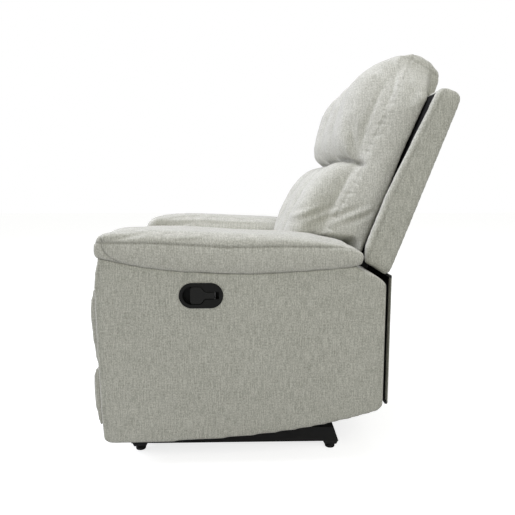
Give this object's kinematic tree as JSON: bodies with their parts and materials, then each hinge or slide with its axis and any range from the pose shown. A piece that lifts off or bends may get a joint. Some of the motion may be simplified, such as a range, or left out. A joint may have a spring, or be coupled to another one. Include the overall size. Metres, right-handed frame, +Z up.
{
  "type": "recliner armchair",
  "caption": "Padded recliner armchair with rocking base, reclining pillow back, folding padded footrest, pillow-top arms and a recessed pull latch.",
  "frame": {"origin": "on the floor, at the middle of the chair's plan box", "axes": "+Z up, -Y is the way the sitter faces, +X is the sitter's left, where the latch is"},
  "size_m": [0.98, 0.932, 1.0668],
  "materials": {
    "fabric": "heathered linen weave",
    "panel_fabric": "heathered linen weave, stretched flat",
    "wood": "planed softwood",
    "base_wood": "black painted wood",
    "steel": "black powder coat",
    "pin": "zinc plated",
    "spring": "spring steel",
    "glide": "moulded",
    "latch": "satin black moulded",
    "strap": "woven elastic"
  },
  "bodies": {
    "base": {"base_side_rails": "base_wood", "base_cross_rails": "base_wood", "base_glides": "glide", "rocker_brackets": "steel", "rocker_pins": "pin", "rocker_springs": "spring"},
    "chassis": {"rocker_cams": "steel", "arm_base_rails": "wood", "arm_front_posts": "wood", "arm_rear_posts": "wood", "arm_top_rails": "wood", "arm_top_boards": "wood", "left_outer_panel": "panel_fabric", "right_outer_panel": "panel_fabric", "arm_inner_panels": "panel_fabric", "arm_front_panels": "panel_fabric", "arm_rear_panels": "panel_fabric", "arm_rear_caps": "panel_fabric", "left_arm_pillow": "fabric", "right_arm_pillow": "fabric", "seat_side_rails": "wood", "seat_front_rail": "wood", "seat_rear_rail": "wood", "seat_springs": "spring", "seat_cushion": "fabric", "mechanism_plates": "steel", "back_pivot_plates": "steel", "back_pivot_pins": "pin", "latch_bezel": "latch", "latch_hinge_pin": "pin", "latch_block": "latch", "release_cable": "latch", "cable_clips": "latch"},
    "back": {"back_stiles": "wood", "back_cross_rails": "wood", "back_webbing": "strap", "back_brackets": "steel", "left_shell_side": "panel_fabric", "right_shell_side": "panel_fabric", "shell_rear_panel": "panel_fabric", "shell_front_panel": "panel_fabric", "shell_top_cap": "panel_fabric", "headrest_cushion": "fabric", "lumbar_cushion": "fabric", "flap_rod": "steel"},
    "rear_flap": {"rear_flap": "panel_fabric", "flap_hem_bar": "steel"},
    "drive_arm": {"drive_tube": "steel", "rear_links": "steel"},
    "front_arm": {"front_links": "steel", "knee_pins": "pin", "footrest_pins": "pin"},
    "footrest": {"footrest_brackets": "steel", "footrest_board": "wood", "footrest_upper_pad": "fabric", "footrest_lower_pad": "fabric"},
    "latch_lever": {"latch_lever": "latch"},
    "latch_plunger": {"latch_plunger": "pin"}
  },
  "joints": [
    {"name": "rock", "type": "hinge", "parent": "base", "child": "chassis", "pos_m": [0, -0.06, 0.13], "axis": [-1, 0, 0], "range_deg": [-2, 5], "stiffness_Nm_per_rad": 6000, "deforming": ["rocker_springs"]},
    {"name": "recline", "type": "hinge", "parent": "chassis", "child": "back", "pos_m": [0, 0.207, 0.402], "axis": [-1, 0, 0], "range_deg": [0, 32]},
    {"name": "flap_swing", "type": "hinge", "parent": "back", "child": "rear_flap", "pos_m": [0, 0.304, 0.48], "axis": [1, 0, 0], "range_deg": [0, 32]},
    {"name": "footrest_fold", "type": "hinge", "parent": "chassis", "child": "drive_arm", "pos_m": [0, -0.25, 0.36], "axis": [-1, 0, 0], "range_deg": [0, 78]},
    {"name": "knee_fold", "type": "hinge", "parent": "drive_arm", "child": "front_arm", "pos_m": [0, -0.20233, 0.17608], "axis": [1, 0, 0], "range_deg": [0, 94]},
    {"name": "footrest_turn", "type": "hinge", "parent": "front_arm", "child": "footrest", "pos_m": [0, -0.4, 0.36], "axis": [-1, 0, 0], "range_deg": [0, 106]},
    {"name": "latch_pull", "type": "hinge", "parent": "chassis", "child": "latch_lever", "pos_m": [0.472, -0.146, 0.444], "axis": [0, 0, 1], "range_deg": [0, 30], "stiffness_Nm_per_rad": 0.3},
    {"name": "plunger_slide", "type": "slide", "parent": "chassis", "child": "latch_plunger", "axis": [0, 1, 0], "range_m": [0, 0.006]}
  ],
  "couplings": [
    {"joint": "flap_swing", "follows": "recline", "ratio": 1},
    {"joint": "knee_fold", "follows": "footrest_fold", "ratio": 1.2},
    {"joint": "footrest_turn", "follows": "footrest_fold", "ratio": 1.35},
    {"joint": "plunger_slide", "follows": "latch_pull", "m_per_rad": 0.01}
  ]
}
